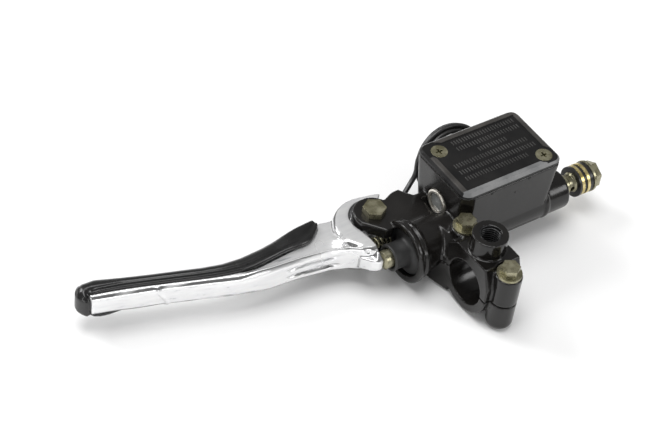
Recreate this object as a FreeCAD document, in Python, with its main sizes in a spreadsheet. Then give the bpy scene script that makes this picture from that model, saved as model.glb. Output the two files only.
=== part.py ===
"""Handlebar brake master cylinder with lever: one node per piece.

Row frame: origin on the axis of the handlebar clamp at mid width, +X along the
handlebar towards the hose outlet, +Y forwards to the cylinder, +Z up to the lid.
"""
import FreeCAD
import Part
import Sketcher
import math
import os

Vector = FreeCAD.Vector
Rotation = FreeCAD.Rotation
Placement = FreeCAD.Placement

doc = FreeCAD.newDocument("brake_master_cylinder")
sheet = doc.addObject("Spreadsheet::Sheet", "sizes")

# ---------------------------------------------------------------- driving sizes
SIZES = {
    # handlebar clamp
    "bar_radius": 11.1,
    "clamp_width": 19.4,
    "clamp_top": 17.5,
    "cap_radius": 15.2,
    "arm_bottom": -15.2,
    "ear_radius": 6.3,
    "ear_offset": 16.5,
    "ear_seat": 15.7,
    "cap_reach": 20.2,
    "cap_flare": 12.8,
    "split_gap": 0.5,
    "bolt_hole_radius": 3.3,
    "mirror_boss_radius": 8.4,
    "mirror_boss_top": 26.4,
    "mirror_thread_radius": 5.0,
    "mirror_thread_depth": 12.0,
    # cylinder
    "cylinder_offset": 28.2,
    "bore_radius": 6.35,
    "bore_end": 46.0,
    "mouth_face": -24.3,
    "mouth_radius": 15.0,
    "neck_radius": 12.5,
    "barrel_radius": 9.6,
    "outlet_face": 66.4,
    "thread_radius": 5.0,
    "outlet_thread_depth": 14.0,
    "recess_radius": 11.8,
    "recess_depth": 4.0,
    # reservoir
    "box_left": -0.1,
    "box_right": 56.3,
    "box_front": 19.8,
    "box_back": 58.0,
    "box_top": 27.6,
    "box_floor": -5.0,
    "box_corner": 4.0,
    "lid_top": 30.9,
    "gasket": 0.8,
    "chamber_floor": 11.0,
    # perch and lever pivot
    "pivot_back": -27.5,
    "pivot_side": 48.0,
    "ear_inner": 4.3,
    "ear_outer": 10.0,
    "nose_radius": 9.6,
    "pin_radius": 4.0,
    "fit_gap": 0.05,
    "hub_radius": 6.9,
    "lever_height": 14.0,
    "cover_height": 14.8,
    "core_height": 10.0,
    "cover_wall": 2.2,
    "lug_height": 10.0,
    "hook_inner": 10.5,
    "hook_outer": 16.4,
    # brake light switch and its lead
    "switch_screw_x": -10.6,
    "switch_screw_y": 51.8,
    "plunger_side": 55.5,
    "plunger_level": -5.0,
    "plunger_radius": 1.5,
    "lead_radius": 1.25,
    "coil_radius": 17.0,
    "coil_section": 3.0,
    "coil_tilt": 20.0,
}

row = 1
for word, value in SIZES.items():
    sheet.set("A%d" % row, word)
    sheet.set("B%d" % row, str(value))
    sheet.setAlias("B%d" % row, word)
    row += 1
doc.recompute()


def size(word):
    return SIZES[word]


def bind(thing, path, text):
    """Tie a property to the sheet; bare words become references to it."""
    expression = text
    for word in sorted(SIZES, key=len, reverse=True):
        expression = expression.replace(word, "@%d@" % list(SIZES).index(word))
    for index, word in enumerate(SIZES):
        expression = expression.replace("@%d@" % index, "sizes." + word)
    thing.setExpression(path, expression)


# ---------------------------------------------------------------- small helpers
def new_body(label):
    body = doc.addObject("PartDesign::Body", label)
    body.Label = label
    if hasattr(body, "AllowCompound"):
        body.AllowCompound = True
    return body


def sketch_on(body, role, x="0", y="0", z="0"):
    """A sketch on one of the body's own planes, shifted by sheet expressions."""
    sketch = body.newObject("Sketcher::SketchObject", body.Name + "_sketch")
    plane = next(item for item in body.Origin.OriginFeatures if item.Role == role)
    sketch.AttachmentSupport = [(plane, "")]
    sketch.MapMode = "FlatFace"
    for axis, text in zip("xyz", (x, y, z)):
        bind(sketch, ".AttachmentOffset.Base." + axis, text)
    return sketch


def circle_sketch(body, role, radius, x="0", y="0", z="0"):
    sketch = sketch_on(body, role, x, y, z)
    sketch.addGeometry(Part.Circle(Vector(0, 0, 0), Vector(0, 0, 1), 3.0), False)
    constrain(sketch, "Coincident", 0, 3, -1, 1)
    name_constraint(sketch, "radius", radius, "Radius", 0, 3.0)
    return sketch


def constrain(sketch, kind, *numbers):
    return sketch.addConstraint(Sketcher.Constraint(kind, *numbers))


def name_constraint(sketch, name, text, kind, *numbers):
    index = constrain(sketch, kind, *numbers)
    sketch.renameConstraint(index, name)
    bind(sketch, "Constraints." + name, text)


def rectangle_sketch(body, role, width, depth, x="0", y="0", z="0"):
    """A rectangle whose low corner is the shifted origin."""
    sketch = sketch_on(body, role, x, y, z)
    corners = [Vector(0, 0, 0), Vector(9, 0, 0), Vector(9, 7, 0), Vector(0, 7, 0)]
    for index in range(4):
        line = Part.LineSegment(corners[index], corners[(index + 1) % 4])
        sketch.addGeometry(line, False)
    for index in range(4):
        constrain(sketch, "Coincident", index, 2, (index + 1) % 4, 1)
    constrain(sketch, "Horizontal", 0)
    constrain(sketch, "Vertical", 1)
    constrain(sketch, "Horizontal", 2)
    constrain(sketch, "Vertical", 3)
    constrain(sketch, "Coincident", 0, 1, -1, 1)
    name_constraint(sketch, "width", width, "DistanceX", 0, 1, 0, 2, 9.0)
    name_constraint(sketch, "depth", depth, "DistanceY", 1, 1, 1, 2, 7.0)
    return sketch


def outline_sketch(body, role, curves, x="0", y="0", z="0"):
    """A closed outline given as a list of curves that meet end to end."""
    sketch = sketch_on(body, role, x, y, z)
    for curve in curves:
        sketch.addGeometry(curve, False)
    return sketch


def straight(points):
    """Line segments through (x, y) points."""
    ends = [Vector(px, py, 0) for px, py in points]
    return [Part.LineSegment(a, b) for a, b in zip(ends, ends[1:])]


def polygon(points):
    return straight(list(points) + [points[0]])


def smooth(points):
    curve = Part.BSplineCurve()
    curve.interpolate([Vector(px, py, 0) for px, py in points])
    return curve


def polar(centre, radius, degrees):
    angle = math.radians(degrees)
    return (centre[0] + radius * math.cos(angle), centre[1] + radius * math.sin(angle))


def arc(centre, radius, start, end):
    """Arc through three points, from start to end degrees."""
    stops = [polar(centre, radius, a) for a in (start, (start + end) / 2.0, end)]
    points = [Vector(px, py, 0) for px, py in stops]
    return Part.Arc(*points)


def rounded_rectangle(left, front, right, back, radius):
    """Outline of an upright rectangle with round corners, anticlockwise."""
    centres = [(right - radius, back - radius), (left + radius, back - radius),
               (left + radius, front + radius), (right - radius, front + radius)]
    curves = []
    for index, centre in enumerate(centres):
        start = 90.0 * index
        following = centres[(index + 1) % 4]
        curves.append(arc(centre, radius, start, start + 90.0))
        side = [polar(centre, radius, start + 90.0), polar(following, radius, start + 90.0)]
        curves = curves + straight(side)
    return curves


def loft_between(body, first, second):
    """Straight-sided solid from one outline to the next."""
    feature = body.newObject("PartDesign::AdditiveLoft", body.Name + "_loft")
    feature.Profile = first
    feature.Sections = [second]
    feature.Ruled = True
    doc.recompute()
    return feature


def pad(body, sketch, length, midplane=False, reverse=False):
    feature = body.newObject("PartDesign::Pad", body.Name + "_pad")
    feature.Profile = sketch
    feature.Midplane = midplane
    feature.Reversed = reverse
    bind(feature, "Length", length)
    doc.recompute()
    return feature


def pocket(body, sketch, length, midplane=False, reverse=False):
    """Cut against the sketch's normal, or along it if reversed; it must remove material."""
    before = body.Shape.Volume
    feature = body.newObject("PartDesign::Pocket", body.Name + "_pocket")
    feature.Profile = sketch
    feature.Midplane = midplane
    feature.Reversed = reverse
    bind(feature, "Length", length)
    doc.recompute()
    if body.Shape.Volume > before - 1e-3:
        raise RuntimeError("a pocket in %s cuts nothing" % body.Label)
    return feature


def revolve(body, points, role="XY_Plane", x="0", y="0", z="0"):
    """Turn an outline of (along, radius) points about the sketch's horizontal axis."""
    sketch = outline_sketch(body, role, polygon(points), x, y, z)
    feature = body.newObject("PartDesign::Revolution", body.Name + "_turned")
    feature.Profile = sketch
    feature.ReferenceAxis = (sketch, ["H_Axis"])
    feature.Angle = 360.0
    doc.recompute()
    return feature


def groove(body, points, role="XY_Plane", x="0", y="0", z="0"):
    before = body.Shape.Volume
    sketch = outline_sketch(body, role, polygon(points), x, y, z)
    feature = body.newObject("PartDesign::Groove", body.Name + "_groove")
    feature.Profile = sketch
    feature.ReferenceAxis = (sketch, ["H_Axis"])
    feature.Angle = 360.0
    doc.recompute()
    if body.Shape.Volume > before - 1e-3:
        raise RuntimeError("a groove in %s cuts nothing" % body.Label)
    return feature


def turned(label, points, y="cylinder_offset", z="0"):
    """A piece turned about an axis parallel to X."""
    body = new_body(label)
    revolve(body, points, "XY_Plane", "0", y, z)
    return body


def turned_upright(label, points, x="0", y="0"):
    """A piece turned about an axis parallel to Z; its points are (height, radius)."""
    body = new_body(label)
    sketch = outline_sketch(body, "XZ_Plane", polygon([(r, h) for h, r in points]),
                            x, "0", "-(%s)" % y)
    feature = body.newObject("PartDesign::Revolution", label + "_turned")
    feature.Profile = sketch
    feature.ReferenceAxis = (sketch, ["V_Axis"])
    feature.Angle = 360.0
    doc.recompute()
    return body


def edges_where(feature, test):
    """Names of the feature's edges that pass the test."""
    names = []
    for index, edge in enumerate(feature.Shape.Edges):
        if test(edge):
            names.append("Edge%d" % (index + 1))
    return names


def fillet(body, feature, names, radius):
    rounded = body.newObject("PartDesign::Fillet", body.Name + "_fillet")
    rounded.Base = (feature, names)
    bind(rounded, "Radius", radius)
    doc.recompute()
    return rounded


def chamfer(body, feature, names, amount):
    cut = body.newObject("PartDesign::Chamfer", body.Name + "_chamfer")
    cut.Base = (feature, names)
    bind(cut, "Size", amount)
    doc.recompute()
    return cut


def circle_sketch_in(sketch, radius):
    """Add a round border to a sketch, so that what lies between is cut away."""
    sketch.addGeometry(Part.Circle(Vector(0, 0, 0), Vector(0, 0, 1), radius), False)
    return sketch


# ---------------------------------------------------------------- shared outlines
PIVOT = (size("pivot_back"), size("pivot_side"))
NOSE_START = polar(PIVOT, size("nose_radius"), 27.0)
NOSE_END = polar(PIVOT, size("nose_radius"), 200.0)
NOSE = arc(PIVOT, size("nose_radius"), 27.0, 200.0)
PERCH_INNER = (-29.0, 35.5)
SWITCH_SIDE = [(-15.5, 50.0), (-14.5, 46.0), (-12.0, 40.0)]
PERCH_BACK = [(4.0, 48.7), (-4.7, 48.7), (-7.4, 52.0), (-9.2, 55.1), (-13.4, 54.7)]
SLOT_RADIUS = 8.2
LID_SCREWS = [(7.5, 50.5), (49.6, 26.3)]
COMPENSATING_PORT_X = "8"
RELIEF_PORT_X = "20.6"
SIGHT_GLASS = {"y": "38.8", "z": "11.1"}


def add_arm(body):
    """Arm from the cylinder to the clamp: it flares towards the mouth, and its shoulder slopes."""
    half = size("clamp_width") / 2.0
    foot = size("arm_bottom")
    near_clamp = [(-half, foot), (-half, 1.7), (-5.2, 12.2), (half - 1.5, 12.2), (half, 10.5), (half, foot)]
    near_mouth = [(-15.5, foot + 0.6), (-15.0, 6.5), (-8.0, 12.2), (half - 1.5, 12.2), (half, 10.5),
                  (half, foot + 0.6)]
    loft_between(body, outline_sketch(body, "XZ_Plane", polygon(near_clamp), z="-10"),
                 outline_sketch(body, "XZ_Plane", polygon(near_mouth), z="-30"))


def add_reservoir(body):
    """Outside of the reservoir box, drawn in towards its floor."""
    left, right, front, back = size("box_left"), size("box_right"), size("box_front"), size("box_back")
    floor = rounded_rectangle(left + 2.7, front - 0.6, right - 4.2, back - 2.7, size("box_corner"))
    rim = rounded_rectangle(left, front, right, back, size("box_corner"))
    loft_between(body, outline_sketch(body, "XY_Plane", floor, z="box_floor"),
                 outline_sketch(body, "XY_Plane", rim, z="box_top"))


def add_barrel(body):
    """Outside of the cylinder, from the flanged mouth to the hose outlet."""
    mouth = size("mouth_face")
    barrel = size("barrel_radius")
    revolve(body, [
        (mouth, 0), (mouth, size("mouth_radius")), (-21.8, size("mouth_radius")),
        (-21.4, 13.6), (-20.2, 13.6), (-19.8, 14.2), (-18.8, 14.2), (-17.6, size("neck_radius")),
        (1.5, size("neck_radius")), (3.0, barrel), (51.5, barrel), (51.9, 10.2), (53.6, 10.2),
        (54.0, barrel), (65.6, barrel), (size("outlet_face"), 8.8), (size("outlet_face"), 0),
    ], y="cylinder_offset")


def add_perch(body):
    """Lever perch: upper ear, lower ear, and the web between them round the hub's slot."""
    nose_to_inner = [NOSE] + straight([NOSE_END, PERCH_INNER])
    upper = straight([PERCH_INNER, (4.0, 35.5)] + PERCH_BACK + [NOSE_START]) + nose_to_inner
    pad(body, outline_sketch(body, "XY_Plane", upper, z="ear_inner"), "ear_outer-ear_inner")
    lower = straight([PERCH_INNER, (-12.0, 35.5)] + SWITCH_SIDE[::-1] + [NOSE_START]) + nose_to_inner
    pad(body, outline_sketch(body, "XY_Plane", lower, z="-ear_outer"), "ear_outer-ear_inner")
    slot_low = polar(PIVOT, SLOT_RADIUS, -52.0)
    slot_high = polar(PIVOT, SLOT_RADIUS, 24.0)
    nose_to_slot = [NOSE_START, slot_high]
    slot = [arc(PIVOT, SLOT_RADIUS, 24.0, -52.0)]
    web_top = straight([slot_low, (-21.9, 35.5), (4.0, 35.5)] + PERCH_BACK + nose_to_slot)
    pad(body, outline_sketch(body, "XY_Plane", web_top + slot, z="-1.0"), "ear_inner+1.0")
    web_low = straight([slot_low, (-21.9, 35.5), (-12.0, 35.5)] + SWITCH_SIDE[::-1] + nose_to_slot)
    pad(body, outline_sketch(body, "XY_Plane", web_low + slot, z="-ear_inner"), "ear_inner-1.0")


def add_clamp_half(body):
    """Upper half of the clamp over the bar, its two bolt columns and the mirror boss."""
    gap = size("split_gap") / 2.0
    top = size("clamp_top")
    bridge = [(-15.0, gap), (-15.0, 7.0), (-11.2, top), (9.5, top - 0.6), (15.2, 11.5), (15.2, 0.05),
              (2.0, 0.05), (2.0, gap)]
    pad(body, outline_sketch(body, "YZ_Plane", polygon(bridge)), "clamp_width", midplane=True)
    for side, low in (("-ear_offset", "split_gap/2"), ("ear_offset", "0.05")):
        pad(body, circle_sketch(body, "XY_Plane", "ear_radius", "0", side, low), "ear_seat-%s" % low)
    for side in ("-ear_offset", "ear_offset"):
        spot_face = circle_sketch(body, "XY_Plane", "ear_radius+0.2", "0", side, "box_top+1")
        pocket(body, spot_face, "box_top+1-ear_seat")
    pad(body, circle_sketch(body, "XY_Plane", "mirror_boss_radius", z="12"), "mirror_boss_top-12")


def cut_clamp(body):
    """Handlebar bore, the two bolt holes and the mirror's thread."""
    pocket(body, circle_sketch(body, "YZ_Plane", "bar_radius", z="clamp_width"), "clamp_width*2")
    for side in ("-ear_offset", "ear_offset"):
        pocket(body, circle_sketch(body, "XY_Plane", "bolt_hole_radius", "0", side, "ear_seat+12"), "60")
    thread = circle_sketch(body, "XY_Plane", "mirror_thread_radius", z="mirror_boss_top")
    pocket(body, thread, "mirror_thread_depth")


def cut_reservoir(body):
    """Chamber and deeper well, with a corner column left for each lid screw."""
    pocket(body, rectangle_sketch(body, "XY_Plane", "46", "30.6", "5", "23.4", "box_top"),
           "box_top-chamber_floor")
    pocket(body, rectangle_sketch(body, "XY_Plane", "43", "12.5", "6.5", "40.5", "chamber_floor"), "12.5")
    for x, y in LID_SCREWS:
        pad(body, circle_sketch(body, "XY_Plane", "4.3", str(x), str(y), "chamber_floor-2"),
            "box_top-chamber_floor+2")
        pocket(body, circle_sketch(body, "XY_Plane", "2.05", str(x), str(y), "box_top"), "12")


def cut_cylinder(body):
    """Stepped bore from the mouth, circlip groove, outlet thread, and the two ports from the chamber."""
    mouth = size("mouth_face")
    radius = size("bore_radius")
    recess = mouth + size("recess_depth")
    thread_end = size("outlet_face") - size("outlet_thread_depth")
    groove(body, [
        (mouth - 1, 0), (mouth - 1, size("recess_radius")), (recess, size("recess_radius")),
        (recess, radius), (-18.9, radius), (-18.9, 7.2), (-17.7, 7.2), (-17.7, radius),
        (size("bore_end"), radius), (size("bore_end") + 1.5, 1.5), (thread_end - 1.5, 1.5),
        (thread_end, size("thread_radius")), (size("outlet_face") + 1, size("thread_radius")),
        (size("outlet_face") + 1, 0),
    ], y="cylinder_offset")
    for port_radius, x in (("1.5", COMPENSATING_PORT_X), ("0.5", RELIEF_PORT_X)):
        port = circle_sketch(body, "XY_Plane", port_radius, x, "cylinder_offset", "chamber_floor+2")
        pocket(body, port, "12")


def cut_sight_seat(body):
    """Stepped seat for the sight glass on the lever side."""
    groove(body, [(-3, 0), (-3, 6.6), (3.4, 6.6), (3.4, 6.0), (4.2, 6.0), (4.2, 3.5), (7.5, 3.5), (7.5, 0)],
           **SIGHT_GLASS)


def cut_perch(body):
    """Room for the lever's hub, the pivot holes, the plunger's channel and the switch screw's hole."""
    hub_room = circle_sketch(body, "XY_Plane", "hub_radius+0.6", "pivot_back", "pivot_side", "ear_inner")
    pocket(body, hub_room, "ear_inner*2")
    channel = size("plunger_radius") + 0.4
    groove(body, [(-25, 0), (-25, channel), (-12, channel), (-12, 0)], y="plunger_side", z="plunger_level")
    pin_hole = circle_sketch(body, "XY_Plane", "pin_radius+fit_gap", "pivot_back", "pivot_side",
                             "ear_outer+5")
    pocket(body, pin_hole, "40")
    screw_hole = circle_sketch(body, "XY_Plane", "1.6", "switch_screw_x", "switch_screw_y", "-1.0")
    pocket(body, screw_hole, "6", reverse=True)


def master_cylinder_body():
    """The casting: cylinder, reservoir, lever perch, arm and upper clamp half."""
    body = new_body("master_cylinder_body")
    add_reservoir(body)
    add_barrel(body)
    add_perch(body)
    add_arm(body)
    under_arm = rectangle_sketch(body, "XY_Plane", "clamp_width/2+cap_flare+0.8", "cap_reach+0.1-8",
                                 "-cap_flare-0.5", "8", "0.05")
    pocket(body, under_arm, "30")
    add_clamp_half(body)
    cut_clamp(body)
    cut_reservoir(body)
    cut_cylinder(body)
    cut_sight_seat(body)
    cut_perch(body)
    return body


def clamp_cap():
    """Lower clamp half: it carries on the arm's outline behind, and has a round lug in front."""
    body = new_body("clamp_cap")
    radius = size("cap_radius")
    gap = size("split_gap") / 2.0
    add_arm(body)
    above = rectangle_sketch(body, "XY_Plane", "60", "40", "-30", "0", "0")
    pocket(body, above, "30", reverse=True)
    behind = rectangle_sketch(body, "XY_Plane", "60", "40", "-30", "cap_reach", "1")
    pocket(body, behind, "30")
    low = math.degrees(math.asin(gap / radius))
    ring_start = (-radius * math.cos(math.radians(low)), -gap)
    ring = [arc((0, 0), radius, 180.0 + low, 360.0)]
    ring = ring + straight([(radius, 0), (2.0, 0), (2.0, -gap), ring_start])
    pad(body, outline_sketch(body, "YZ_Plane", ring), "clamp_width", midplane=True)
    lug = circle_sketch(body, "XY_Plane", "ear_radius", "0", "-ear_offset", "-split_gap/2")
    pad(body, lug, "15.6", reverse=True)
    pocket(body, circle_sketch(body, "YZ_Plane", "bar_radius", z="clamp_width"), "clamp_width*2")

    def lug_rim(edge):
        flat_circle = isinstance(edge.Curve, Part.Circle) and abs(edge.Curve.Axis.z) > 0.9
        return flat_circle and edge.BoundBox.ZMax < -15.5

    last = body.Tip
    fillet(body, last, edges_where(last, lug_rim), "ear_radius*0.6")
    for sign in (-1, 1):
        hole = circle_sketch(body, "XY_Plane", "3.05", "0", "%d*ear_offset" % sign, "split_gap")
        pocket(body, hole, "10.5")
    return body


def hexagon(across):
    """Closed hexagon about the sketch origin with the given width across flats."""
    reach = across / math.sqrt(3.0)
    return polygon([polar((0, 0), reach, 60.0 * step + 30.0) for step in range(6)])


def clamp_bolts():
    """Two M6 flange bolts, heads up, threaded into the cap."""
    body = new_body("clamp_bolts")
    for sign in (-1, 1):
        side = "%d*ear_offset" % sign
        flange = circle_sketch(body, "XY_Plane", "5.8", "0", side, "ear_seat")
        pad(body, flange, "1.3")
        head = outline_sketch(body, "XY_Plane", hexagon(7.8), "0", side, "ear_seat+1.3")
        pad(body, head, "3.7")
        shank = circle_sketch(body, "XY_Plane", "3.0", "0", side, "ear_seat")
        pad(body, shank, "ear_seat+9.5", reverse=True)
    return body


def pivot_bolt():
    """Shouldered lever pivot, hexagon head on the upper ear, thread below the lower ear."""
    body = new_body("pivot_bolt")
    top = size("ear_outer")
    outline = [(-top - 5.8, 0), (-top - 5.8, 2.6), (-top - 5.3, 3.0), (-top, 3.0),
               (-top, size("pin_radius")), (top, size("pin_radius")), (top, 0)]
    sketch = outline_sketch(body, "XZ_Plane", polygon([(r, z) for z, r in outline]),
                            "pivot_back", "0", "-pivot_side")
    turn = body.newObject("PartDesign::Revolution", "pivot_shank")
    turn.Profile = sketch
    turn.ReferenceAxis = (sketch, ["V_Axis"])
    turn.Angle = 360.0
    doc.recompute()
    head = outline_sketch(body, "XY_Plane", hexagon(9.6), "pivot_back", "pivot_side", "ear_outer")
    pad(body, head, "3.2")
    return body


def pivot_nut():
    body = new_body("pivot_nut")
    nut = outline_sketch(body, "XY_Plane", hexagon(10.0), "pivot_back", "pivot_side", "-ear_outer")
    pad(body, nut, "4.6", reverse=True)
    hole = circle_sketch(body, "XY_Plane", "3.0+fit_gap", "pivot_back", "pivot_side", "-ear_outer+1")
    pocket(body, hole, "8")
    return body


def reservoir_lid():
    """Flat cover with a bevelled border, a sunk panel and two countersunk corners."""
    body = new_body("reservoir_lid")
    plate = rectangle_sketch(body, "XY_Plane", "box_right-box_left", "box_back-box_front",
                             "box_left", "box_front", "box_top+gasket")
    block = pad(body, plate, "lid_top-box_top-gasket")

    def corner(edge):
        return abs(edge.Vertexes[0].Point.z - edge.Vertexes[-1].Point.z) > 1.0

    rounded = fillet(body, block, edges_where(block, corner), "box_corner+0.5")
    top = size("lid_top")
    chamfer(body, rounded, edges_where(rounded, lambda e: e.BoundBox.ZMin > top - 0.01), "1.5")
    panel = rectangle_sketch(body, "XY_Plane", "box_right-box_left-7", "box_back-box_front-7",
                             "box_left+3.5", "box_front+3.5", "lid_top")
    pocket(body, panel, "0.5")
    under = rectangle_sketch(body, "XY_Plane", "31", "32", "13", "23", "box_top+gasket")
    pocket(body, under, "1.2", reverse=True)
    sink = [(top - 0.45, 0), (top - 0.45, 4.05), (top - 0.8, 4.05), (top - 2.55, 2.1), (top - 4, 2.1),
            (top - 4, 0)]
    for x, y in LID_SCREWS:
        pocket(body, circle_sketch(body, "XY_Plane", "5.4", str(x), str(y), "lid_top"), "0.5")
        nearer = x < 20
        corner_x = "box_left-1" if nearer else str(x - 2.0)
        corner_y = str(y - 2.0) if nearer else "box_front-1"
        pocket(body, rectangle_sketch(body, "XY_Plane", "9.6", "9.6", corner_x, corner_y, "lid_top"), "0.5")
        groove_up(body, x, y, sink)
    return body


def groove_up(body, x, y, points):
    """Turned cut about an upright axis; points are (height, radius)."""
    before = body.Shape.Volume
    sketch = outline_sketch(body, "XZ_Plane", polygon([(r, z) for z, r in points]), str(x), "0", str(-y))
    cut = body.newObject("PartDesign::Groove", body.Name + "_sink")
    cut.Profile = sketch
    cut.ReferenceAxis = (sketch, ["V_Axis"])
    cut.Angle = 360.0
    doc.recompute()
    if body.Shape.Volume > before - 1e-3:
        raise RuntimeError("a turned cut in %s cuts nothing" % body.Label)


def lid_screws():
    """Countersunk M4 screws with a cross recess."""
    body = new_body("lid_screws")
    top = size("lid_top") - 0.5
    for x, y in LID_SCREWS:
        outline = [(top, 0), (top, 3.95), (top - 0.25, 3.95), (top - 2.0, 2.0), (top - 14.0, 2.0),
                   (top - 14.0, 0)]
        half_section = polygon([(r, z) for z, r in outline])
        sketch = outline_sketch(body, "XZ_Plane", half_section, str(x), "0", str(-y))
        turn = body.newObject("PartDesign::Revolution", "screw")
        turn.Profile = sketch
        turn.ReferenceAxis = (sketch, ["V_Axis"])
        turn.Angle = 360.0
        doc.recompute()
        for width, depth in ((3.6, 0.9), (0.9, 3.6)):
            slot = rectangle_sketch(body, "XY_Plane", str(width), str(depth),
                                    str(x - width / 2.0), str(y - depth / 2.0), "lid_top-0.5")
            pocket(body, slot, "1.4")
    return body


def diaphragm():
    """Rubber gasket rim with a bellows cup hanging into the chamber."""
    body = new_body("diaphragm")
    rim = rectangle_sketch(body, "XY_Plane", "box_right-box_left-1", "box_back-box_front-1",
                           "box_left+0.5", "box_front+0.5", "box_top")
    flat = pad(body, rim, "gasket")
    fillet(body, flat, edges_where(flat, lambda e: e.BoundBox.ZLength > 0.5), "box_corner-0.5")
    cup = rectangle_sketch(body, "XY_Plane", "30", "29", "13.5", "24.5", "box_top")
    pad(body, cup, "7", reverse=True)
    hollow = rectangle_sketch(body, "XY_Plane", "28", "27", "14.5", "25.5", "box_top+gasket")
    pocket(body, hollow, "6.8")
    for x, y in LID_SCREWS:
        pocket(body, circle_sketch(body, "XY_Plane", "2.2", str(x), str(y), "lid_top"), "8")
    return body


def diaphragm_plate():
    body = new_body("diaphragm_plate")
    pad(body, rectangle_sketch(body, "XY_Plane", "30.6", "31.6", "13.2", "23.2", "box_top+gasket"), "1.0")
    pocket(body, circle_sketch(body, "XY_Plane", "1.2", "28.5", "39", "lid_top"), "8")
    return body


def port_baffle():
    """Thin plate standing over the two ports so that returning fluid doesn't spout."""
    body = new_body("port_baffle")
    plate = rectangle_sketch(body, "XY_Plane", "20", "9", "5.6", "cylinder_offset-4.5", "chamber_floor")
    pad(body, plate, "0.6")
    for radius, x in (("1.8", COMPENSATING_PORT_X), ("0.8", RELIEF_PORT_X)):
        pocket(body, circle_sketch(body, "XY_Plane", radius, x, "cylinder_offset", "chamber_floor+1"), "3")
    return body


def sight_glass():
    """Bezel, glass and seal, seated in the lever side of the reservoir."""
    turned("sight_glass_bezel", [
        (0.2, 4.9), (0.2, 5.7), (0.6, 6.4), (3.35, 6.5), (3.35, 5.5), (1.9, 5.5), (1.9, 4.9)], **SIGHT_GLASS)
    turned("sight_glass_lens", [
        (1.0, 0), (1.3, 4.6), (1.95, 4.8), (1.95, 5.4), (3.35, 5.4), (3.35, 0)], **SIGHT_GLASS)
    turned("sight_glass_seal", [(3.4, 3.6), (3.4, 5.9), (4.15, 5.9), (4.15, 3.6)], **SIGHT_GLASS)


def outlet_pieces():
    """Hollow hose bolt part way out of its thread, with the seals it carries."""
    body = new_body("banjo_bolt")
    flange = 83.0
    revolve(body, [(61.6, 0), (61.6, 4.3), (62.2, 4.9), (70.2, 4.9), (71.0, 4.2), (73.4, 4.2), (74.2, 4.9),
                   (flange, 4.9), (flange, 7.7), (flange + 1.2, 7.7), (flange + 1.5, 6.6), (88.2, 6.6),
                   (88.2, 0)], y="cylinder_offset")
    hexed = outline_sketch(body, "YZ_Plane", hexagon(11.5), "cylinder_offset", "0", "%s+1.5" % flange)
    frame = circle_sketch_in(hexed, 9.0)
    pocket(body, frame, "10", reverse=True)
    groove(body, [(61.0, 0), (61.0, 1.6), (76.0, 1.6), (76.9, 0)], y="cylinder_offset")
    cross = circle_sketch(body, "XZ_Plane", "1.3", "72.2", "0", "-cylinder_offset-8")
    pocket(body, cross, "16", reverse=True)
    rings = {
        "sealing_washers": [(75.7, 77.3, 5.9, 7.5), (79.0, 80.6, 5.9, 7.5)],
        "washer_rubbers": [(75.8, 77.3, 5.0, 5.9), (79.0, 80.6, 5.0, 5.9)],
        "hose_spacers": [(74.4, 75.7, 5.0, 7.5), (77.3, 79.0, 5.0, 7.1), (80.6, 83.0, 5.0, 7.2)],
    }
    for label, items in rings.items():
        body = new_body(label)
        for start, stop, inner, outer in items:
            ring = [(start, inner), (start, outer), (stop, outer), (stop, inner)]
            revolve(body, ring, y="cylinder_offset")


def cylinder_internals():
    """Everything on the cylinder axis, from the boot to the spring."""
    bore = size("bore_radius") - size("fit_gap")
    turned("dust_boot", [
        (-31.8, 5.0), (-31.8, 6.5), (-22.4, 6.5), (-21.9, 11.5), (-20.4, 11.5), (-20.4, 5.0)])
    turned("stop_washer", [(-17.6, 4.5), (-17.6, 6.25), (-16.8, 6.25), (-16.8, 4.5)])
    clip = turned("circlip", [(-18.8, 5.2), (-18.8, 7.1), (-17.8, 7.1), (-17.8, 5.2)])
    gap = rectangle_sketch(clip, "YZ_Plane", "6", "12", "cylinder_offset-3", "-12", "-10")
    pocket(clip, gap, "20")
    tip = BLOCK + size("fit_gap")
    dome = 8.0
    nose = [(tip + dome - math.sqrt(dome ** 2 - r ** 2), r) for r in (0.0, 1.6, 3.0)]
    turned("piston", nose + [
        (tip + 1.3, 4.3), (-16.7, 4.3), (-16.7, bore), (-12.0, bore), (-12.0, 4.2), (-8.5, 4.2),
        (-8.5, bore), (-6.5, bore), (-6.5, 3.5), (13.5, 3.5), (13.5, bore), (16.0, bore), (16.0, 3.2),
        (21.5, 3.2), (21.5, 0)])
    turned("primary_cup", [
        (16.0, 3.25), (16.0, 5.9), (16.4, 6.1), (19.6, bore), (19.6, 5.2), (17.8, 4.8), (17.8, 3.25)])
    turned("secondary_cup", [
        (-12.0, 4.2), (-12.0, 5.9), (-11.6, 6.1), (-8.6, bore), (-8.6, 5.2), (-10.2, 4.8), (-10.2, 4.2)])


def spring(label, coil_radius, wire, start, stop, turns, y, z):
    """Compression spring along X between two seats."""
    helix = doc.addObject("Part::Helix", label + "_line")
    helix.Radius = coil_radius
    helix.Height = stop - start - 2.0 * wire
    helix.Pitch = float(helix.Height) / turns
    helix.SegmentLength = 1.0
    doc.recompute()
    ring = doc.addObject("Part::Circle", label + "_wire")
    ring.Radius = wire
    ring.Placement = Placement(Vector(coil_radius, 0, 0), Rotation(Vector(1, 0, 0), 90))
    sweep = doc.addObject("Part::Sweep", label)
    sweep.Label = label
    sweep.Sections = [ring]
    sweep.Spine = (helix, ["Edge%d" % (index + 1) for index in range(len(helix.Shape.Edges))])
    sweep.Solid = True
    sweep.Frenet = True
    sweep.Placement = Placement(Vector(start + wire, y, z), Rotation(Vector(0, 1, 0), 90))
    doc.recompute()
    return sweep


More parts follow.
